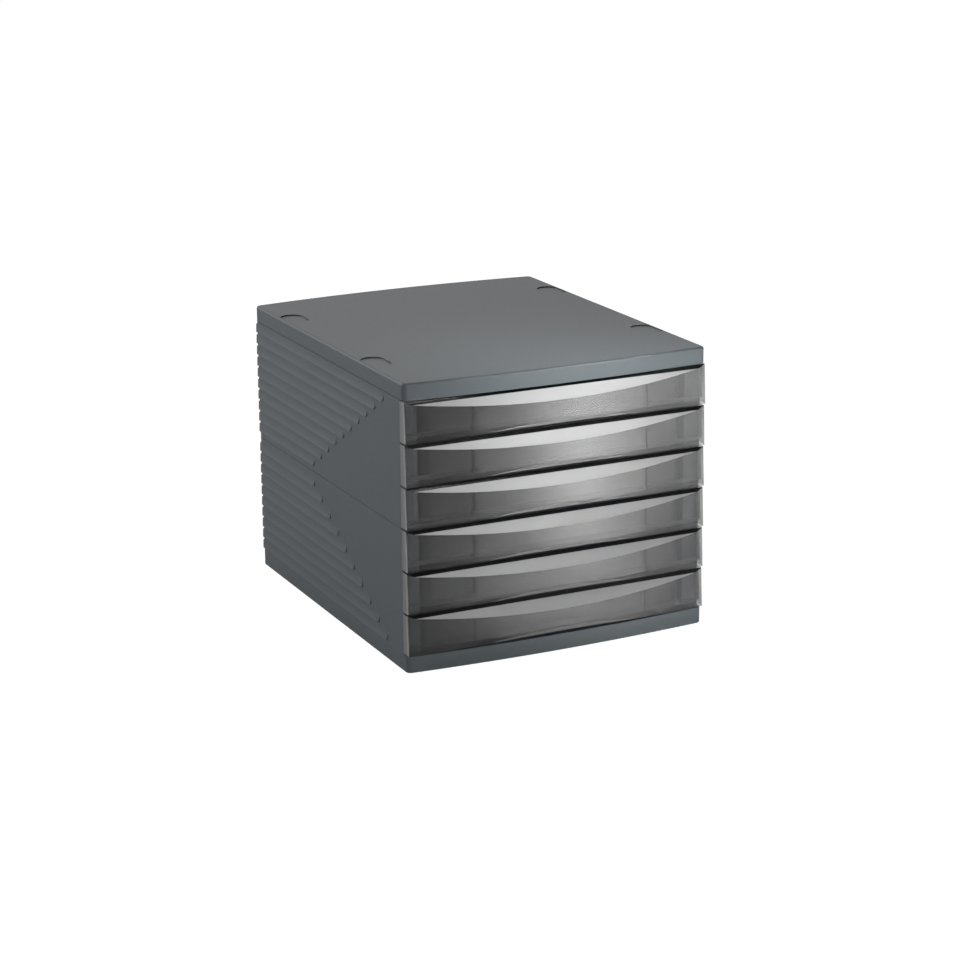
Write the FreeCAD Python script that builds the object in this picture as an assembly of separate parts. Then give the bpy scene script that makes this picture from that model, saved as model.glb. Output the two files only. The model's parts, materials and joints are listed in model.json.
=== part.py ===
import FreeCAD, Part
import math
import os
from FreeCAD import Vector

# Desktop drawer cabinet: two stacked ribbed housings, a top cover and six sliding drawers.
# X is the width, Y the depth with the drawer fronts at -Y, and Z is up from the table.

# Carcass in plan
cabinet_width = 290.0
corner_depth = 340.0        # front corners to rear corners
front_bow = 6.5             # bulge of the cover and base between the front corners
rear_bow = 9.2
corner_radius = 5.0
wall = 2.5

# Heights
foot_drop = 1.5             # the base clears the table by this much
base_height = 15.0
cover_height = 15.0
drawer_pitch = 37.6
drawers_per_housing = 3
housings = 2
floor_thickness = 2.5

# Carcass details
cover_edge_radius = 2.2
base_edge_radius = 1.0
seam_height = 0.4           # shadow line along each joint between mouldings
seam_depth = 0.8
joint_flange_thickness = 1.5
joint_flange_width = 13.0
stiffener_thickness = 2.0
stiffener_height = 3.0
stiffener_rows = 4
pillar_width = 16.0         # outer face of the side to the drawer opening
pillar_depth = 3.0
runner_thickness = 2.5
peg_radius = 2.5
peg_clearance = 0.15
post_radius = 4.5
peg_inset = 9.0
peg_rows = 3

# Ribs on the side walls
rib_width = 7.6
rib_height = 1.2            # crest along the lower edge of a rib
rib_crest_edge = 0.25
rib_hollow = 0.2            # dip of the face between the wall and the crest
rib_count = 10              # on each side of each housing
rib_seam_offset = 9.6       # middle joint to the nearest rib
rib_end_offset = 6.0        # furthest rib to the far end of its housing
rib_root_margin = 0.3
chevron_depth = 217.0       # front corners to the tip of the smooth wedge
last_rib_setback = 40.8     # front corners to the end of the furthest rib

# Stacking recesses and feet
recess_width = 21.0
recess_length = 35.8
recess_depth = 1.0
recess_side_margin = 1.8
front_recess_setback = 83.7
rear_recess_setback = 69.5
foot_play = 1.5
foot_socket_depth = 1.0

# Drawer tray
tray_side_gap = 0.8
tray_rear_gap = 3.0
tray_wall = 1.8
tray_floor = 1.8
tray_lift = 2.2             # bottom of the tray above the bottom of its bay
rim_drop = 3.6              # top of a tray below the bottom of the bay above
tray_front_radius = 12.0    # of the two corners behind the front
tray_rear_radius = 4.0
tray_base_radius = 1.5
rim_thickness = 2.2
runner_play = 0.3           # rim above its runner
rim_side_gap = 1.0
slot_headroom = 0.6
drawer_travel = 250.0
stop_height = 1.6
stop_length = 6.0
stop_width = 9.0
stop_play = 0.4

# Drawer front
front_depth = 7.7           # at the ends, from the corner plane back
front_play = 0.4            # closed front to the pillars
front_gap_below = 1.4
front_gap_above = 0.4
front_bulge = 11.3          # bow of a drawer front between its ends
front_lean = 2.0            # the bottom of a front stands this much further out
front_wall = 2.2
front_corner_radius = 1.5
scoop_riser_run = 1.3       # steep step at the back of the scoop
scoop_riser_drop = 3.3
scoop_drop_share = 0.82     # fall of the scoop for its run, ahead of the step
front_arch = 3.4            # rise of the bottom edge at the middle
lip_height = 4.0
lip_depth = 2.0

# Label pocket and hooks behind the front
label_half_width = 82.0
label_side_play = 0.6
label_thickness = 0.4
label_play = 0.15
label_rib_thickness = 1.2
label_rib_depth = 3.0
label_catch_width = 3.0
label_catch_thickness = 1.0
hook_place = 70.0
hook_width = 20.0
hook_play = 0.05
hook_root = 4.0
hook_thickness = 1.65
hook_reach = 3.0

overrun = 20.0              # extra length of every cutting tool
match = 0.001               # two places this close are one

# Places worked out from the sizes
half_width = cabinet_width / 2
base_z = foot_drop
first_bay_z = base_z + base_height
tray_rim = drawer_pitch - rim_drop
runner_level = tray_rim - rim_thickness - runner_play
housing_height = drawers_per_housing * drawer_pitch
joint_z = first_bay_z + housing_height
last_rib_away = housing_height - rib_end_offset
rib_pitch = (last_rib_away - rib_seam_offset) / (rib_count - 1)
chevron_run_share = (chevron_depth - last_rib_setback) / last_rib_away
cover_z = first_bay_z + housings * housing_height
top_z = cover_z + cover_height
front_height = drawer_pitch - front_gap_below - front_gap_above
widest_share = 1 - (front_arch + lip_height) / front_height
front_reach = front_bulge + front_lean * widest_share
overall_depth = front_reach + corner_depth + rear_bow
front_y = front_reach - overall_depth / 2
rear_y = front_y + corner_depth
front_back_y = front_y + front_depth
pillar_y = front_back_y + front_play
pillar_rear_y = pillar_y + pillar_depth
opening_half = half_width - pillar_width
tray_half = opening_half - tray_side_gap
tray_front_y = front_back_y
tray_rear_y = rear_y - wall - tray_rear_gap
rim_half = half_width - wall - rim_side_gap
recess_x = half_width - recess_side_margin - recess_width / 2
recess_ys = (front_y + front_recess_setback, rear_y - rear_recess_setback)


def block(x0, x1, y0, y1, z0, z1):
    """Box between two opposite corners."""
    return Part.makeBox(x1 - x0, y1 - y0, z1 - z0, Vector(x0, y0, z0))


def mirrored(shape):
    """The same shape on the other side of the cabinet."""
    return shape.mirror(Vector(0, 0, 0), Vector(1, 0, 0))


def both_sides(shapes):
    return shapes + [mirrored(s) for s in shapes]


def upright_edges(shape):
    """Straight vertical edges."""
    found = []
    for edge in shape.Edges:
        ends = [v.Point for v in edge.Vertexes]
        if len(ends) == 2 and math.hypot(ends[0].x - ends[1].x, ends[0].y - ends[1].y) < match:
            found.append(edge)
    return found


def level_edges(shape, z):
    """Edges that lie all along one height."""
    return [e for e in shape.Edges if abs(e.BoundBox.ZMin - z) < match and abs(e.BoundBox.ZMax - z) < match]


def inset_bow(half, bow, inset):
    """Bow of the arc that runs a wall inside another, between ends moved in by that wall."""
    radius = (half ** 2 + bow ** 2) / (2 * bow) - inset
    return radius - math.sqrt(radius ** 2 - (half - inset) ** 2)


def plan_prism(inset, low, high):
    """The cabinet's plan, moved in by a wall, between two heights."""
    half = half_width - inset
    bow_f = inset_bow(half_width, front_bow, inset)
    bow_r = inset_bow(half_width, rear_bow, inset)
    apex_f = front_y - front_bow + inset
    apex_r = rear_y + rear_bow - inset
    corners = [
        Vector(-half, apex_f + bow_f, low), Vector(half, apex_f + bow_f, low),
        Vector(half, apex_r - bow_r, low), Vector(-half, apex_r - bow_r, low),
    ]
    outline = Part.Wire([
        Part.Arc(corners[0], Vector(0, apex_f, low), corners[1]).toShape(),
        Part.makeLine(corners[1], corners[2]),
        Part.Arc(corners[2], Vector(0, apex_r, low), corners[3]).toShape(),
        Part.makeLine(corners[3], corners[0]),
    ])
    prism = Part.Face(outline).extrude(Vector(0, 0, high - low))
    radius = corner_radius - inset
    return prism.makeFillet(radius, upright_edges(prism)) if radius > match else prism


def oblong(width, length, x, y, low, high):
    """Upright slab with half-round ends, its long side along the depth."""
    run = (length - width) / 2
    middle = block(x - width / 2, x + width / 2, y - run, y + run, low, high)
    ends = [Part.makeCylinder(width / 2, high - low, Vector(x, y + s * run, low)) for s in (-1, 1)]
    return middle.fuse(ends).removeSplitter()


def recess_places():
    return [(s * recess_x, y) for s in (-1, 1) for y in recess_ys]


def peg_places():
    """Pegs along both sides, clear of the corners."""
    y0 = pillar_rear_y + peg_inset
    y1 = rear_y - wall - peg_inset
    rows = [y0 + (y1 - y0) * i / (peg_rows - 1) for i in range(peg_rows)]
    return [(s * (half_width - peg_inset), y) for s in (-1, 1) for y in rows]


def seam_groove(z):
    """Ring that leaves a shadow line just above a joint."""
    outer = plan_prism(-overrun, z - match, z + seam_height)
    return outer.cut(plan_prism(seam_depth, z - overrun, z + overrun))


def rib(z, tip_y):
    """Bar on the right wall: a hollow face down to its crest, a flat underside and a rounded front end."""
    inside = half_width - wall + rib_root_margin
    low, high = z - rib_width / 2, z + rib_width / 2
    crest_x, crest_z = half_width + rib_height, low + rib_crest_edge
    lean = math.atan2(rib_height, high - crest_z)
    top, crest = Vector(half_width, tip_y, high), Vector(crest_x, tip_y, crest_z)
    hollow = (top + crest) / 2 - Vector(math.cos(lean), 0, math.sin(lean)) * rib_hollow
    under = Vector(crest_x - rib_crest_edge, tip_y, low)
    root_low, root_high = Vector(inside, tip_y, low), Vector(inside, tip_y, high)
    section = Part.Wire([
        Part.Arc(top, hollow, crest).toShape(),
        Part.makeLine(crest, under),
        Part.makeLine(under, root_low),
        Part.makeLine(root_low, root_high),
        Part.makeLine(root_high, top),
    ])
    bar = Part.Face(section).extrude(Vector(0, rear_y + overrun - tip_y, 0))
    centre_y = tip_y + rib_width / 2
    nose = Part.makeCylinder(rib_width / 2, wall + rib_height, Vector(inside, centre_y, z), Vector(1, 0, 0))
    behind = block(inside, crest_x, centre_y, rear_y + overrun, low, high)
    return bar.common(nose.fuse(behind)).removeSplitter()


def side_ribs(direction):
    """Ribs of one housing: they end on a wedge that points back at the middle joint."""
    reach = plan_prism(-rib_height, base_z, top_z)
    bars = []
    for i in range(rib_count):
        away = rib_seam_offset + i * rib_pitch
        tip = front_y + chevron_depth - away * chevron_run_share
        bars.append(rib(joint_z + direction * away, tip).common(reach))
    return both_sides(bars)


def joint_flange(low, high):
    """Inward frame where one moulding meets the next."""
    ring = plan_prism(wall - match, low, high)
    window = plan_prism(wall + joint_flange_width, low - overrun, high + overrun)
    front = block(-half_width, half_width, pillar_y, pillar_y + joint_flange_width,
                  low - overrun, high + overrun)
    ring = ring.cut(window.cut(front))
    return ring.cut(ahead_of_pillars(low - overrun, high + overrun))


def ahead_of_pillars(low, high):
    return block(-cabinet_width, cabinet_width, front_y - overall_depth, pillar_y, low, high)


def bay_floor(index):
    """Height of the bottom of a bay, counted from the bottom drawer up."""
    return first_bay_z + index * drawer_pitch


def runners(bays):
    """Ledges along the right wall that the tray rims slide on."""
    made = []
    for index in bays:
        top = bay_floor(index) + runner_level
        made.append(block(opening_half, half_width - wall + match, pillar_y, rear_y - wall,
                          top - runner_thickness, top))
    return made


def rim_slots(bays):
    """Slots through the right pillar for the tray rims."""
    made = []
    for index in bays:
        low = bay_floor(index) + runner_level
        high = bay_floor(index) + tray_rim + slot_headroom
        made.append(block(opening_half - overrun, half_width - wall, pillar_y - overrun, pillar_rear_y,
                          low, high))
    return made


def housing_walls(low, high, bays):
    """Sides, back, front pillars, runners and top flange of one housing."""
    shell = plan_prism(0, low, high).cut(plan_prism(wall, low - overrun, high + overrun))
    shell = shell.cut(ahead_of_pillars(low - overrun, high + overrun))
    pillar = block(opening_half, half_width - wall + match, pillar_y, pillar_rear_y, low, high)
    pillar = pillar.cut(rim_slots(bays)[0].fuse(rim_slots(bays)[1:]))
    inner = both_sides([pillar] + runners(bays)) + [joint_flange(high - joint_flange_thickness, high)]
    return [shell] + inner


def lower_housing():
    """Base with its front band, floor, underside stiffeners and foot sockets, and three bays."""
    base = plan_prism(0, base_z, first_bay_z)
    base = base.makeFillet(base_edge_radius, level_edges(base, base_z))
    base = base.cut(plan_prism(wall, base_z - overrun, first_bay_z - floor_thickness))
    parts = housing_walls(first_bay_z, joint_z, range(drawers_per_housing)) + side_ribs(-1)
    parts += underside_stiffeners()
    floor_under = first_bay_z - floor_thickness
    parts += [oblong(recess_width, recess_length, x, y, base_z, floor_under) for x, y in recess_places()]
    body = base.fuse(parts)
    for x, y in recess_places():
        body = body.cut(oblong(recess_width - 2 * foot_play, recess_length - 2 * foot_play, x, y,
                               base_z - overrun, base_z + foot_socket_depth))
    for x, y in peg_places():
        body = body.cut(Part.makeCylinder(peg_radius + peg_clearance, joint_flange_thickness + overrun,
                                          Vector(x, y, joint_z - joint_flange_thickness)))
    return body.removeSplitter()


def underside_stiffeners():
    """Cross webs under the floor."""
    top = first_bay_z - floor_thickness
    made = []
    for i in range(stiffener_rows):
        y = front_y + corner_depth * (i + 1) / (stiffener_rows + 1)
        x = -half_width + cabinet_width * (i + 1) / (stiffener_rows + 1)
        half = stiffener_thickness / 2
        made.append(block(wall / 2 - half_width, half_width - wall / 2, y - half, y + half,
                          top - stiffener_height, top))
        made.append(block(x - half, x + half, front_y + wall / 2, rear_y - wall / 2,
                          top - stiffener_height, top))
    return made


def upper_housing():
    """Three more bays on the lower housing, located by pegs."""
    bays = range(drawers_per_housing, housings * drawers_per_housing)
    walls = housing_walls(joint_z, cover_z, bays)
    parts = walls[1:] + side_ribs(1) + [joint_flange(joint_z, joint_z + joint_flange_thickness)]
    parts += [Part.makeCylinder(peg_radius, 2 * joint_flange_thickness,
                                Vector(x, y, joint_z - joint_flange_thickness)) for x, y in peg_places()]
    body = walls[0].fuse(parts).cut(seam_groove(joint_z))
    for x, y in peg_places():
        body = body.cut(Part.makeCylinder(peg_radius + peg_clearance, joint_flange_thickness + overrun,
                                          Vector(x, y, cover_z - joint_flange_thickness)))
    return body.removeSplitter()


def top_cover():
    """Bowed tray-shaped lid with four stacking recesses and posts that plug into the housing."""
    lid = plan_prism(0, cover_z, top_z)
    lid = lid.makeFillet(cover_edge_radius, level_edges(lid, top_z))
    lid = lid.cut(plan_prism(wall, cover_z - overrun, top_z - wall))
    lid = lid.cut(seam_groove(cover_z))
    posts = []
    for x, y in peg_places():
        posts.append(Part.makeCylinder(post_radius, cover_height - wall / 2, Vector(x, y, cover_z)))
        posts.append(Part.makeCylinder(peg_radius, joint_flange_thickness + wall,
                                       Vector(x, y, cover_z - joint_flange_thickness)))
    lid = lid.fuse(posts)
    for x, y in recess_places():
        lid = lid.cut(oblong(recess_width, recess_length, x, y, top_z - recess_depth, top_z + overrun))
    return lid.removeSplitter()


def foot(x, y):
    """Rubber pad glued into its socket; it drops into a recess of the cabinet below."""
    pad = oblong(recess_width - 2 * foot_play, recess_length - 2 * foot_play, x, y,
                 base_z - foot_drop, base_z + foot_socket_depth)
    return pad


def rounded_corners(shape, front_radius, rear_radius):
    """Rounds the upright edges of a block, the front pair more than the rear pair."""
    middle = shape.BoundBox.Center.y
    front = [e for e in upright_edges(shape) if e.BoundBox.YMax < middle]
    shape = shape.makeFillet(front_radius, front)
    rear = [e for e in upright_edges(shape) if e.BoundBox.YMin > middle + front_radius]
    return shape.makeFillet(rear_radius, rear)


def drawer_tray():
    """Paper tray that hangs on its side rims, above the bottom of its bay at zero."""
    low, high = tray_lift, tray_rim
    tray = block(-tray_half, tray_half, tray_front_y, tray_rear_y, low, high)
    tray = rounded_corners(tray, tray_front_radius, tray_rear_radius)
    tray = tray.makeFillet(tray_base_radius, level_edges(tray, low))
    room = block(tray_wall - tray_half, tray_half - tray_wall, tray_front_y + tray_wall,
                 tray_rear_y - tray_wall, low + tray_floor, high + overrun)
    room = rounded_corners(room, tray_front_radius - tray_wall, tray_rear_radius - tray_wall)
    rims = []
    for s in (-1, 1):
        inner, outer = sorted((s * (tray_half - tray_wall / 2), s * rim_half))
        rims.append(block(inner, outer, tray_front_y + tray_front_radius, tray_rear_y - tray_rear_radius,
                          high - rim_thickness, high))
        stop_y = pillar_rear_y + drawer_travel + stop_play
        near, far = sorted((s * (rim_half - stop_width), s * rim_half))
        rims.append(block(near, far, stop_y, stop_y + stop_length, high - rim_thickness, high + stop_height))
    return tray.cut(room).fuse(rims).removeSplitter()


def front_block(inset, back):
    """Bowed, leaning block of a drawer front with its scoop, moved in by a wall, as far back as asked."""
    return bowed_block(inset, back).cut(scoop(inset))


def bowed_block(inset, back):
    """The block of a drawer front without its scoop."""
    low, high = front_gap_below, drawer_pitch - front_gap_above
    half = half_width - inset
    bow = inset_bow(half_width, front_bulge, inset)
    levels = [(low, front_lean), (high, 0)]
    if inset > 0:
        floor = low + front_arch + inset
        levels = [(floor, front_lean * (high - floor) / (high - low)),
                  (high - inset, front_lean * inset / (high - low))]
    wires = []
    for z, lean in levels:
        apex = front_y - lean - front_bulge + inset
        left, right = Vector(-half, apex + bow, z), Vector(half, apex + bow, z)
        back_left, back_right = Vector(-half, back, z), Vector(half, back, z)
        wires.append(Part.Wire([
            Part.Arc(left, Vector(0, apex, z), right).toShape(),
            Part.makeLine(right, back_right),
            Part.makeLine(back_right, back_left),
            Part.makeLine(back_left, left),
        ]))
    return Part.makeLoft(wires, True, True)


def scoop(inset):
    """Space above a step and a sloping face that lets fingers under the drawer above."""
    high = drawer_pitch - front_gap_above
    step_share = scoop_riser_drop / scoop_riser_run
    step_down = inset * math.hypot(1, step_share)
    down = scoop_riser_drop - scoop_riser_run * scoop_drop_share + inset * math.hypot(1, scoop_drop_share)
    bend = (down - step_down) / (step_share - scoop_drop_share)
    run = front_bulge + overrun
    profile = [
        (front_y - bend, high - down - bend * scoop_drop_share),
        (front_y - run, high - down - run * scoop_drop_share),
        (front_y - run, high + overrun),
        (front_y + (overrun + step_down) / step_share, high + overrun),
    ]
    points = [Vector(-cabinet_width, y, z) for y, z in profile]
    face = Part.Face(Part.makePolygon(points + points[:1]))
    return face.extrude(Vector(2 * cabinet_width, 0, 0))


def front_arch_cut():
    """Hollow under the bottom edge of a front."""
    low = front_gap_below
    ends = [Vector(s * half_width, front_y - overrun, low) for s in (-1, 1)]
    deep = [Vector(s * half_width, front_y - overrun, low - overrun) for s in (-1, 1)]
    outline = Part.Wire([
        Part.Arc(ends[0], Vector(0, front_y - overrun, low + front_arch), ends[1]).toShape(),
        Part.makeLine(ends[1], deep[1]),
        Part.makeLine(deep[1], deep[0]),
        Part.makeLine(deep[0], ends[0]),
    ])
    return Part.Face(outline).extrude(Vector(0, 2 * overrun + front_depth, 0))


def lip_cut():
    """Flat facet along the bottom of the bowed face."""
    foot_z = front_gap_below + front_arch
    face_y = front_y - front_reach
    grow = overrun / lip_height
    profile = [
        (face_y - grow * lip_depth, foot_z + lip_height + grow * lip_height),
        (face_y + lip_depth * (1 + grow), foot_z - grow * lip_height),
        (face_y - grow * lip_depth, foot_z - grow * lip_height),
    ]
    points = [Vector(-cabinet_width, y, z) for y, z in profile]
    face = Part.Face(Part.makePolygon(points + points[:1]))
    return face.extrude(Vector(2 * cabinet_width, 0, 0))


def label_pocket():
    """Upright ribs behind the front with catches that hold the label."""
    edge = label_half_width + label_side_play
    outer = front_block(front_wall - match, front_back_y)
    ribs = outer.cut(front_block(front_wall + label_rib_depth, front_back_y + overrun))
    gap = front_wall + 2 * label_play + label_thickness
    catch = front_block(gap, front_back_y)
    catch = catch.cut(front_block(gap + label_catch_thickness, front_back_y + overrun))
    made = []
    for s in (-1, 1):
        x0, x1 = sorted((s * edge, s * (edge + label_rib_thickness)))
        made.append(ribs.common(block(x0, x1, front_y - overall_depth, front_y, 0, drawer_pitch)))
        x0, x1 = sorted((s * (edge - label_catch_width), s * (edge + label_rib_thickness)))
        made.append(catch.common(block(x0, x1, front_y - overall_depth, front_y - front_wall,
                                   0, drawer_pitch)))
    return made


def front_hooks():
    """Hooks that clip the front over the rim of its tray."""
    rest = tray_rim + hook_play
    top = rest + hook_thickness
    behind = front_back_y + tray_wall + hook_play
    made = []
    for s in (-1, 1):
        x0, x1 = s * hook_place - hook_width / 2, s * hook_place + hook_width / 2
        made.append(block(x0, x1, front_back_y - hook_root, behind + hook_thickness, rest, top))
        made.append(block(x0, x1, behind, behind + hook_thickness, rest - hook_reach, top))
    return made


def drawer_front():
    """Clear smoke-coloured shell, open at the back, with scoop, lip and label pocket."""
    body = front_block(0, front_back_y)
    ends = [e for e in upright_like(body) if e.BoundBox.YMin < front_y + match]
    body = body.makeFillet(front_corner_radius, ends)
    body = body.cut(front_arch_cut()).cut(lip_cut())
    body = body.cut(front_block(front_wall, front_back_y + overrun))
    return body.fuse(label_pocket() + front_hooks()).removeSplitter()


def upright_like(shape):
    """Edges at the two ends of a front that run from bottom to top."""
    found = []
    for edge in shape.Edges:
        box = edge.BoundBox
        if box.XLength < match and box.ZLength > front_height / 2:
            found.append(edge)
    return found


def label_strip():
    """Blank film insert that follows the bow of its front and ends under the scoop."""
    inset = front_wall + label_play
    ahead = front_block(inset, front_back_y)
    behind = bowed_block(inset + label_thickness, front_back_y + overrun)
    low = front_gap_below + front_arch + inset + label_thickness
    window = block(-label_half_width, label_half_width, front_y - overall_depth, front_y, low, drawer_pitch)
    return ahead.cut(behind).common(window)


def export(shape, name):
    pieces = shape.Solids
    print(name, "solids", len(pieces), "valid", shape.isValid(), "volume", round(shape.Volume))
    whole = pieces[0] if len(pieces) == 1 else Part.makeCompound(pieces)
    whole.exportStep("parts/" + name + ".step")


def main():
    os.makedirs("parts", exist_ok=True)
    export(lower_housing(), "lower_housing")
    export(upper_housing(), "upper_housing")
    export(top_cover(), "top_cover")
    corners = ("front_left", "rear_left", "front_right", "rear_right")
    for corner, (x, y) in zip(corners, recess_places()):
        export(foot(x, y), "foot_" + corner)
    count = housings * drawers_per_housing
    drawer = {"tray": drawer_tray(), "front": drawer_front(), "label": label_strip()}
    for number in range(1, count + 1):
        lift = Vector(0, 0, bay_floor(count - number))
        for kind, piece in drawer.items():
            export(piece.translated(lift), f"drawer_{number}_{kind}")


main()
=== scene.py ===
import json
import math
import bpy
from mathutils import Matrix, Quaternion, Vector

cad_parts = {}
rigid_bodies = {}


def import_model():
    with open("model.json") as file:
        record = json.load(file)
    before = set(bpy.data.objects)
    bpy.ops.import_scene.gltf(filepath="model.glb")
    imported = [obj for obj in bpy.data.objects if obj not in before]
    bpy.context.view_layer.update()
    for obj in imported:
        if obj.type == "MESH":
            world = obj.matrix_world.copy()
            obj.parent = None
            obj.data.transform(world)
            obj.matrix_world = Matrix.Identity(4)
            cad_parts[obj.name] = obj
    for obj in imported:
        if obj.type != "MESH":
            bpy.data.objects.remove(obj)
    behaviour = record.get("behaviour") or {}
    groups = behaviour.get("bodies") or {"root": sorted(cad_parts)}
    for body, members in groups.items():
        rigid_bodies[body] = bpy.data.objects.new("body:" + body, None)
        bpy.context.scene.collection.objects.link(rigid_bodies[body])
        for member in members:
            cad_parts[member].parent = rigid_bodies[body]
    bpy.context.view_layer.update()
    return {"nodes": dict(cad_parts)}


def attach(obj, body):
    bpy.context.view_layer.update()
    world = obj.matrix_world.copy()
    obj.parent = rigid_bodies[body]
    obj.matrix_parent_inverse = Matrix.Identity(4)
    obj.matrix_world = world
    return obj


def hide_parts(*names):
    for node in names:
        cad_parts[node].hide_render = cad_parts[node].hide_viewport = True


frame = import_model()
print("frame loaded")


# materials

polystyreneIor = 1.59


# an sRGB hex value as the linear colour that the nodes take
def hexColour(code):
    channels = [int(code[i:i + 2], 16) / 255 for i in (1, 3, 5)]
    linear = [c / 12.92 if c <= 0.04045 else ((c + 0.055) / 1.055) ** 2.4 for c in channels]
    return (*linear, 1)


# scale of a pattern that repeats after so many millimetres
def patternScale(size):
    return 1000 / size


def addNode(tree, kind, settings=None, links=None):
    node = tree.nodes.new(kind)
    for name, value in (settings or {}).items():
        if isinstance(name, int) or name in node.inputs:
            node.inputs[name].default_value = value
        else:
            setattr(node, name, value)
    for name, socket in (links or {}).items():
        tree.links.new(socket, node.inputs[name])
    return node


def newMaterial(name):
    material = bpy.data.materials.new(name)
    material.use_nodes = True
    material.node_tree.nodes.clear()
    return material, material.node_tree


# the uneven skin of a moulding: the height of its grain, and the normal that the grain gives
def mouldGrain(tree, place, s):
    noise = {"Scale": patternScale(s["grain"]), "Detail": s["detail"], "Roughness": s["harshness"]}
    grain = addNode(tree, "ShaderNodeTexNoise", noise, {"Vector": place.outputs["Object"]})
    bump = addNode(tree, "ShaderNodeBump", {"Strength": s["bump"], "Distance": s["grainHeight"] / 1000},
                   {"Height": grain.outputs["Fac"]})
    return {"height": grain.outputs["Fac"], "normal": bump.outputs["Normal"]}


# injection-moulded polystyrene in anthracite: the spark-eroded mould leaves a fine grain,
# which gives the eye an even satin sheen without clear reflections
anthraciteSettings = {
    "colour": "#4b5256", "shade": "#4a5155", "specular": 0.4,
    "roughness": 0.5, "roughnessSwing": 0.04, "grainRange": (0.3, 0.7),
    "grain": 1.3,           # mm; the real grit is near 0.2 mm, too fine to show here
    "grainHeight": 0.018,   # mm
    "detail": 3.0, "harshness": 0.6, "bump": 0.35,
    "flow": 160.0,          # mm; slow drift of the colour in a big moulding
    "flowDetail": 2.0,
}


def anthracitePolystyrene():
    s = anthraciteSettings
    material, tree = newMaterial("anthracite_polystyrene")
    place = addNode(tree, "ShaderNodeTexCoord")
    drift = addNode(tree, "ShaderNodeTexNoise",
                    {"Scale": patternScale(s["flow"]), "Detail": s["flowDetail"]},
                    {"Vector": place.outputs["Object"]})
    # the colours of this node are its inputs 6 and 7 and its output 2
    colour = addNode(tree, "ShaderNodeMix",
                     {"data_type": "RGBA", 6: hexColour(s["shade"]), 7: hexColour(s["colour"])},
                     {0: drift.outputs["Fac"]})
    skin = mouldGrain(tree, place, s)
    low, high = s["grainRange"]
    sheen = addNode(tree, "ShaderNodeMapRange",
                    {"From Min": low, "From Max": high, "To Min": s["roughness"] - s["roughnessSwing"],
                     "To Max": s["roughness"] + s["roughnessSwing"]},
                    {"Value": skin["height"]})
    shader = addNode(tree, "ShaderNodeBsdfPrincipled",
                     {"IOR": polystyreneIor, "Specular IOR Level": s["specular"]},
                     {"Base Color": colour.outputs[2], "Roughness": sheen.outputs["Result"],
                      "Normal": skin["normal"]})
    addNode(tree, "ShaderNodeOutputMaterial", None, {"Surface": shader.outputs["BSDF"]})
    return material


# clear smoke polystyrene, slightly matt: soft grey reflections to the eye, and what lies
# behind the wall shows through dimly; each surface of the wall keeps its share of the light
smokeSettings = {
    "tint": "#e0e0e0", "gloss": "#ffffff", "roughness": 0.34,
    "milk": "#7a7a7a", "milkShare": 0.015,   # trace of scattering in the plastic
}
# across a rib the light crosses three times the plastic, which darkens it a little; the rest of its dark
# line is painted shade, from a darker copy of the smoke plastic
smokeRibPaintedShadeSettings = {
    "tint": "#3c3c3c", "gloss": "#ffffff", "roughness": 0.27,
    "milk": "#202020", "milkShare": 0.15,
}
# the rounded ends gather light from inside the wall and glow pale; a pale milk paints that glow here, a
# painted highlight
smokeEdgePaintedHighlightSettings = {
    "tint": "#909090", "gloss": "#ffffff", "roughness": 0.2,
    "milk": "#e8e8e8", "milkShare": 0.4,
}
# the bottom lip is a solid bar and the end walls are seen edge on: less clear than the face; their paler
# grey milk is painted reflection, pale lines along the lips and end walls
smokeLipPaintedReflectionSettings = {
    "tint": "#b0b0b0", "gloss": "#ffffff", "roughness": 0.34,
    "milk": "#b0b0b0", "milkShare": 0.3,
}
# painted shade: the step behind the sloping face lies in the shade under the front above, and a dark tint,
# dark milk and dimmed gloss paint it dark
smokeRiserPaintedShadeSettings = {
    "tint": "#303030", "gloss": "#808080", "roughness": 0.3,
    "milk": "#181818", "milkShare": 0.1,
}
# the sloping face over each front: its pale milk is painted reflection, standing in for the bright light
# that the slope mirrors from above
smokeScoopPaintedReflectionSettings = {
    "tint": "#e8e8e8", "gloss": "#ffffff", "roughness": 0.4,
    "milk": "#f4f4f4", "milkShare": 0.41,
}
# clear film of the blank insert: a second pair of surfaces behind the wall, slightly milky
filmSettings = {
    "tint": "#f6f6f6", "gloss": "#a0a0a0", "roughness": 0.45,
    "milk": "#a0a0a0", "milkShare": 0.04,
}

# share of the light that a surface mirrors: this much straight on, and more at a low angle
mirroredStraightOn = ((polystyreneIor - 1) / (polystyreneIor + 1)) ** 2
schlickPower = 5.0


def smokePolystyrene(name, s):
    material, tree = newMaterial(name)
    clear = addNode(tree, "ShaderNodeBsdfTransparent", {"Color": hexColour(s["tint"])})
    milk = addNode(tree, "ShaderNodeBsdfDiffuse", {"Color": hexColour(s["milk"])})
    body = addNode(tree, "ShaderNodeMixShader", {0: s["milkShare"]},
                   {1: clear.outputs[0], 2: milk.outputs[0]})
    # the same from both sides of the wall; a Fresnel node would mirror all of some light inside it
    facing = addNode(tree, "ShaderNodeLayerWeight")
    grazing = addNode(tree, "ShaderNodeMath", {"operation": "POWER", 1: schlickPower},
                      {0: facing.outputs["Facing"]})
    mirrored = addNode(tree, "ShaderNodeMapRange", {"To Min": mirroredStraightOn},
                       {"Value": grazing.outputs[0]})
    gloss = addNode(tree, "ShaderNodeBsdfAnisotropic",
                    {"Color": hexColour(s["gloss"]), "Roughness": s["roughness"]})
    mixed = addNode(tree, "ShaderNodeMixShader", None,
                    {0: mirrored.outputs[0], 1: body.outputs[0], 2: gloss.outputs[0]})
    addNode(tree, "ShaderNodeOutputMaterial", None, {"Surface": mixed.outputs[0]})
    return material


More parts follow.
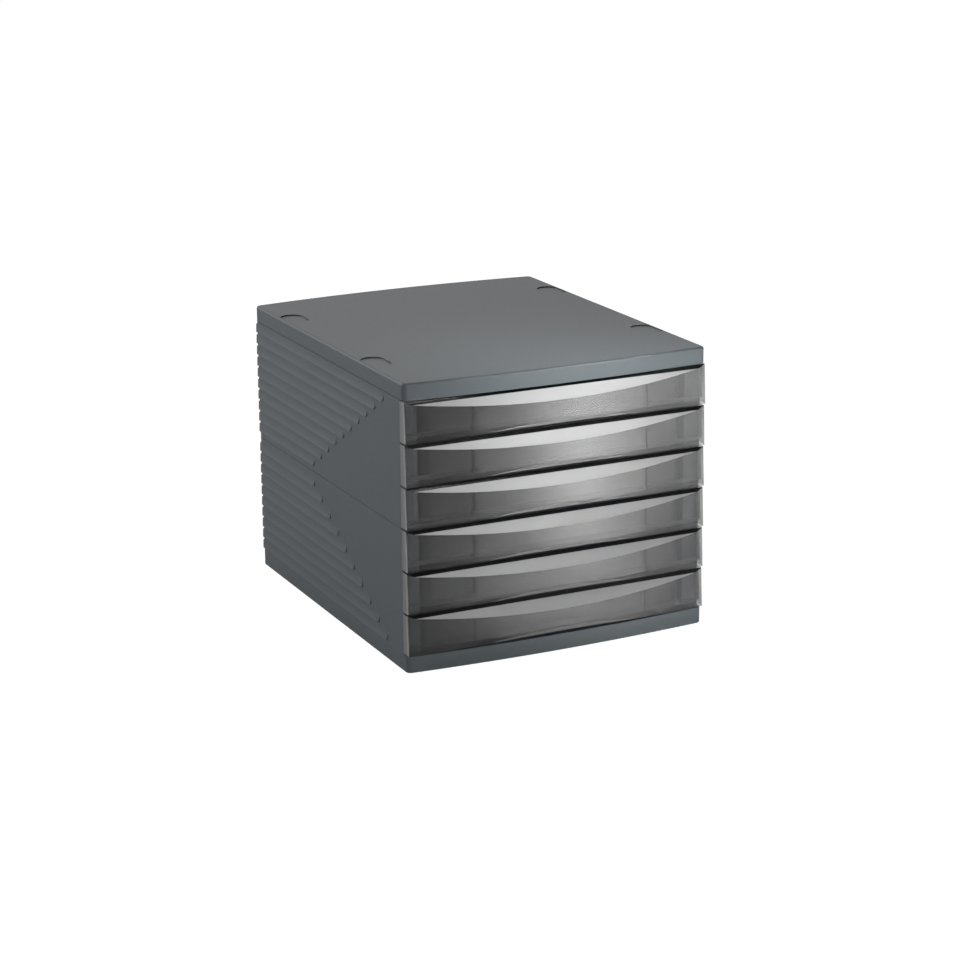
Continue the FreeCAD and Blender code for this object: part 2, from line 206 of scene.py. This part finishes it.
# the trays are the same plastic in near black from a smooth mould: dull grey highlights
traySettings = {
    "colour": "#18191a", "roughness": 0.42,
    "grain": 1.6, "grainHeight": 0.01,   # mm
    "detail": 2.0, "harshness": 0.5, "bump": 0.3,
}


def trayPolystyrene():
    s = traySettings
    material, tree = newMaterial("black_polystyrene")
    place = addNode(tree, "ShaderNodeTexCoord")
    skin = mouldGrain(tree, place, s)
    shader = addNode(tree, "ShaderNodeBsdfPrincipled",
                     {"Base Color": hexColour(s["colour"]), "Roughness": s["roughness"],
                      "IOR": polystyreneIor},
                     {"Normal": skin["normal"]})
    addNode(tree, "ShaderNodeOutputMaterial", None, {"Surface": shader.outputs["BSDF"]})
    return material


# moulded rubber: black, matt, with the unevenness of a dusty surface
rubberSettings = {
    "colour": "#26272a", "roughness": 0.8,
    "grain": 3.0, "grainHeight": 0.05,   # mm
    "detail": 3.0, "harshness": 0.5, "bump": 0.3,
}


def footRubber():
    s = rubberSettings
    material, tree = newMaterial("moulded_rubber")
    place = addNode(tree, "ShaderNodeTexCoord")
    skin = mouldGrain(tree, place, s)
    shader = addNode(tree, "ShaderNodeBsdfPrincipled",
                     {"Base Color": hexColour(s["colour"]), "Roughness": s["roughness"]},
                     {"Normal": skin["normal"]})
    addNode(tree, "ShaderNodeOutputMaterial", None, {"Surface": shader.outputs["BSDF"]})
    return material


anthracite = anthracitePolystyrene()
black = trayPolystyrene()
rubber = footRubber()
smoke = smokePolystyrene("smoke_polystyrene", smokeSettings)
# darker and paler copies of the smoke plastic, which paint shade, highlights and reflections onto the
# fronts
smokeRibPaintedShade = smokePolystyrene("smoke_polystyrene_rib_painted_shade", smokeRibPaintedShadeSettings)
smokeEdgePaintedHighlight = smokePolystyrene("smoke_polystyrene_edge_painted_highlight", smokeEdgePaintedHighlightSettings)
smokeLipPaintedReflection = smokePolystyrene("smoke_polystyrene_lip_painted_reflection", smokeLipPaintedReflectionSettings)
smokeRiserPaintedShade = smokePolystyrene("smoke_polystyrene_riser_painted_shade", smokeRiserPaintedShadeSettings)
smokeScoopPaintedReflection = smokePolystyrene("smoke_polystyrene_scoop_painted_reflection", smokeScoopPaintedReflectionSettings)
film = smokePolystyrene("clear_film", filmSettings)
print("materials made")


# pieces

def deselectAll():
    bpy.ops.object.select_all(action="DESELECT")


def makeActive(piece):
    deselectAll()
    piece.select_set(True)
    bpy.context.view_layer.objects.active = piece


def setMaterial(piece, material):
    piece.data.materials.clear()
    piece.data.materials.append(material)


# for every moulding: points this near are one (mm), and faces this flat are one (degrees)
facetSettings = {"weld": 0.002, "flat": 0.05}


# a moulding with its facets joined and, where its settings give an edge, its edges rounded
def mouldedCopy(nodeName, name, material, body, settings):
    makeActive(frame["nodes"][nodeName])
    bpy.ops.object.duplicate()
    piece = bpy.context.active_object
    piece.name = name
    bpy.ops.object.parent_clear(type="CLEAR_KEEP_TRANSFORM")
    if piece.data.has_custom_normals:
        bpy.ops.mesh.customdata_custom_splitnormals_clear()
    bpy.ops.object.mode_set(mode="EDIT")
    bpy.ops.mesh.select_all(action="SELECT")
    bpy.ops.mesh.remove_doubles(threshold=facetSettings["weld"] / 1000)
    bpy.ops.mesh.dissolve_limited(angle_limit=math.radians(facetSettings["flat"]))
    bpy.ops.object.mode_set(mode="OBJECT")
    if "edge" in settings:
        bevel = piece.modifiers.new("edges", "BEVEL")
        bevel.width = settings["edge"] / 1000
        bevel.segments = settings["steps"]
        bevel.limit_method = "ANGLE"
        bevel.angle_limit = math.radians(settings["sharp"])
        bevel.miter_outer = "MITER_ARC"
        bpy.ops.object.modifier_apply(modifier=bevel.name)
    bpy.ops.object.shade_smooth_by_angle(angle=math.radians(settings["smooth"]))
    if "edge" in settings:
        # keeps the big faces flat beside the edges
        even = piece.modifiers.new("shading", "WEIGHTED_NORMAL")
        even.keep_sharp = True
        bpy.ops.object.modifier_apply(modifier=even.name)
    setMaterial(piece, material)
    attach(piece, body)
    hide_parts(nodeName)
    print(name, "faces", len(piece.data.polygons))
    return piece


# edge in mm and in so many steps, where faces meet at more than the sharp angle;
# shading is smooth under the smooth angle; both in degrees
coverMoulding = {"edge": 0.35, "steps": 2, "sharp": 35, "smooth": 32}
housingMoulding = {"smooth": 20}
frontMoulding = {"edge": 0.3, "steps": 2, "sharp": 30, "smooth": 26}
trayMoulding = {"smooth": 32}
filmStrip = {"smooth": 32}

# how the faces of a front are told apart: by their millimetres from the middle plane, by their
# height in millimetres and by the parts of their normal, from 0 to 1
frontZones = {
    "ribFaces": (82.4, 84.0),                         # a rib beside the insert
    "endStart": 143.4, "endSideways": (0.5, 0.985),   # rounded ends
    "endWallStart": 142.4,                            # end walls, which face further sideways
    "lipDown": 0.3, "lipForward": 0.3,
    "scoopUp": 0.5, "scoopForward": 0.3,              # sloping face
    "riserUp": (0.3, 0.5), "riserForward": 0.5,       # step behind the sloping face
    "riserHeight": 1.0,
}


# least and greatest distance of some corners from the middle plane
def reachOf(corners):
    across = [abs(corner.x) * 1000 for corner in corners]
    return min(across), max(across)


def isLabelRib(corners, normal):
    inner, outer = frontZones["ribFaces"]
    low, high = reachOf(corners)
    return inner < low and high < outer


def isLipOrEndWall(corners, normal):
    zone = frontZones
    isLip = normal.z < -zone["lipDown"] and normal.y < -zone["lipForward"]
    isEndWall = abs(normal.x) >= zone["endSideways"][1] and reachOf(corners)[0] > zone["endWallStart"]
    return isLip or isEndWall


def isRoundedEnd(corners, normal):
    low, high = frontZones["endSideways"]
    turned = low < abs(normal.x) < high and normal.y < 0
    return turned and reachOf(corners)[0] > frontZones["endStart"]


def isScoop(corners, normal):
    return normal.z > frontZones["scoopUp"] and normal.y < -frontZones["scoopForward"]


def isRiser(corners, normal):
    low, high = frontZones["riserUp"]
    heights = [corner.z * 1000 for corner in corners]
    isTall = max(heights) - min(heights) > frontZones["riserHeight"]
    return low < normal.z < high and normal.y < -frontZones["riserForward"] and isTall


# gives the faces of a piece that pass a test another material
def shareFaces(piece, material, test):
    piece.data.materials.append(material)
    index = len(piece.data.materials) - 1
    points = piece.data.vertices
    found = [face for face in piece.data.polygons
             if test([points[i].co for i in face.vertices], face.normal)]
    for face in found:
        face.material_index = index
    print(piece.name, material.name, len(found), "faces")


# where a face passes two tests, the later look holds; the looks paint light and shade onto the front:
# shade on ribs and steps, a highlight on the rounded ends, reflections on lips, end walls and slopes
frontLooks = (
    (smokeRibPaintedShade, isLabelRib),
    (smokeLipPaintedReflection, isLipOrEndWall),
    (smokeEdgePaintedHighlight, isRoundedEnd),
    (smokeScoopPaintedReflection, isScoop),
    (smokeRiserPaintedShade, isRiser),
)

mouldedCopy("top_cover", "cover_moulding", anthracite, "cabinet", coverMoulding)
mouldedCopy("upper_housing", "upper_moulding", anthracite, "cabinet", housingMoulding)
mouldedCopy("lower_housing", "lower_moulding", anthracite, "cabinet", housingMoulding)

for number in (1, 2, 3, 4, 5, 6):   # from the top
    body = f"drawer_{number}"
    front = mouldedCopy(f"{body}_front", f"{body}_smoke_front", smoke, body, frontMoulding)
    for material, test in frontLooks:
        shareFaces(front, material, test)
    mouldedCopy(f"{body}_tray", f"{body}_black_tray", black, body, trayMoulding)
    mouldedCopy(f"{body}_label", f"{body}_film_strip", film, body, filmStrip)
for corner in ("front_left", "front_right", "rear_left", "rear_right"):
    setMaterial(frame["nodes"][f"foot_{corner}"], rubber)
print("pieces made")


# floor, light and camera

# side in metres; to the camera the floor shows mostly its own even glow, so that it fades into the
# white behind, and to everything else it is pale paint
floorSettings = {"size": 30.0, "colour": "#f4f4f4", "shown": 0.78, "glow": 1.26}


def paleFloor():
    s = floorSettings
    deselectAll()
    bpy.ops.mesh.primitive_plane_add(size=s["size"], location=(0, 0, 0))
    floor = bpy.context.active_object
    floor.name = "floor"
    material, tree = newMaterial("pale_floor")
    paint = addNode(tree, "ShaderNodeBsdfDiffuse", {"Color": hexColour(s["colour"])})
    glow = addNode(tree, "ShaderNodeEmission", {"Color": hexColour("#ffffff"), "Strength": s["glow"]})
    path = addNode(tree, "ShaderNodeLightPath")
    seen = addNode(tree, "ShaderNodeMath", {"operation": "MAXIMUM"},
                   {0: path.outputs["Is Camera Ray"], 1: path.outputs["Is Transmission Ray"]})
    share = addNode(tree, "ShaderNodeMath", {"operation": "MULTIPLY", 1: s["shown"]}, {0: seen.outputs[0]})
    mixed = addNode(tree, "ShaderNodeMixShader", None,
                    {0: share.outputs[0], 1: paint.outputs[0], 2: glow.outputs[0]})
    addNode(tree, "ShaderNodeOutputMaterial", None, {"Surface": mixed.outputs[0]})
    floor.data.materials.append(material)


# strengths of the white around: on matt surfaces, as gloss mirrors it from the front and from
# behind, and as the backdrop; the mirrored white rises from the sides to where a direction's
# backward part is "fullAt"
worldSettings = {"fill": 0.12, "front": 0.05, "behind": 1.15, "fullAt": 0.7, "shown": 1.0}


def whiteSurroundings():
    s = worldSettings
    world = bpy.data.worlds.new("white_surroundings")
    bpy.context.scene.world = world
    world.use_nodes = True
    tree = world.node_tree
    tree.nodes.clear()
    path = addNode(tree, "ShaderNodeLightPath")
    place = addNode(tree, "ShaderNodeTexCoord")
    direction = addNode(tree, "ShaderNodeSeparateXYZ", None, {0: place.outputs["Generated"]})
    mirrored = addNode(tree, "ShaderNodeMapRange",
                       {"From Max": s["fullAt"], "To Min": s["front"], "To Max": s["behind"]},
                       {"Value": direction.outputs["Y"]})
    around = addNode(tree, "ShaderNodeMapRange", {"To Min": s["fill"]},
                     {"Value": path.outputs["Is Glossy Ray"], "To Max": mirrored.outputs["Result"]})
    seen = addNode(tree, "ShaderNodeMath", {"operation": "MAXIMUM"},
                   {0: path.outputs["Is Camera Ray"], 1: path.outputs["Is Transmission Ray"]})
    strength = addNode(tree, "ShaderNodeMapRange", {"To Max": s["shown"]},
                       {"Value": seen.outputs[0], "To Min": around.outputs["Result"]})
    sky = addNode(tree, "ShaderNodeBackground", {"Color": hexColour("#ffffff")},
                  {"Strength": strength.outputs["Result"]})
    addNode(tree, "ShaderNodeOutputWorld", None, {"Surface": sky.outputs[0]})


# soft boxes: azimuth and elevation in degrees and distance in metres from the point lit, that point,
# width and height in metres, power in watts and the full angle that a box shines over
lampSettings = {
    # narrow, on the sloping faces: white on the upper drawers, fading downwards
    "scoop_box": {"from": (20, 38, 0.9), "to": (0.02, -0.18, 0.238), "size": (0.19, 0.04),
                  "power": 0.18, "spread": 19},
    # its soft reflection is the bright field on the right half of the fronts
    "face_box": {"from": (33, -3, 1.2), "to": (0.0, -0.18, 0.11), "size": (0.25, 0.35),
                 "power": 3.2, "spread": 180},
    # low beside it, for the lower drawers
    "floor_box": {"from": (30, -8, 0.5), "to": (0.0, -0.18, 0.13), "size": (0.10, 0.18),
                  "power": 0.62, "spread": 180},
    # the right ends of the fronts
    "right_box": {"from": (60, 3, 1.4), "to": (0.05, -0.17, 0.06), "size": (0.4, 0.3),
                  "power": 5, "spread": 180},
    # the left side with its ribs
    "rear_left_box": {"from": (-130, 25, 2.1), "to": (0.0, 0.0, 0.15), "size": (1.0, 1.0),
                      "power": 18, "spread": 180},
    # the left edges of the fronts
    "left_edge_box": {"from": (-50, 10, 1.8), "to": (0.0, -0.18, 0.13), "size": (0.3, 0.9),
                      "power": 6, "spread": 180},
    # the floor before the cabinet, which lights the lips from below
    "floor_spot": {"from": (15, 80, 0.7), "to": (0.10, -0.37, 0.0), "size": (0.1, 0.1),
                   "power": 0.6, "spread": 30},
}


# unit vector from the cabinet: azimuth from the front towards the right, elevation from the floor
def directionOf(azimuth, elevation):
    a = math.radians(azimuth)
    e = math.radians(elevation)
    return Vector((math.sin(a) * math.cos(e), -math.cos(a) * math.cos(e), math.sin(e)))


def softBoxes():
    for name, s in lampSettings.items():
        deselectAll()
        azimuth, elevation, away = s["from"]
        back = directionOf(azimuth, elevation)
        bpy.ops.object.light_add(type="AREA", location=Vector(s["to"]) + back * away)
        lamp = bpy.context.active_object
        lamp.name = name
        lamp.data.shape = "RECTANGLE"
        lamp.data.size, lamp.data.size_y = s["size"]
        lamp.data.energy = s["power"]
        lamp.data.spread = math.radians(s["spread"])
        lamp.visible_camera = False
        lamp.rotation_euler = (-back).to_track_quat("-Z", "Y").to_euler()


# the photograph's viewpoint, fitted to the corners of the case: degrees, metres, and millimetres
# for the lens and the sensor
cameraSettings = {"azimuth": -25.6, "elevation": 16.4, "roll": -0.5, "distance": 2.3837,
                  "target": (0.0067, 0.0019, 0.1096), "lens": 96.6, "sensor": 36}


def photographCamera():
    s = cameraSettings
    back = directionOf(s["azimuth"], s["elevation"])
    deselectAll()
    bpy.ops.object.camera_add(location=Vector(s["target"]) + back * s["distance"])
    camera = bpy.context.active_object
    camera.name = "photograph_camera"
    turn = (-back).to_track_quat("-Z", "Y")
    camera.rotation_mode = "QUATERNION"
    camera.rotation_quaternion = turn @ Quaternion((0, 0, 1), math.radians(s["roll"]))
    camera.data.sensor_width = s["sensor"]
    camera.data.lens = s["lens"]
    bpy.context.scene.camera = camera


paleFloor()
whiteSurroundings()
softBoxes()
photographCamera()
bpy.context.scene.view_settings.view_transform = "Standard"
print("floor, light and camera made")
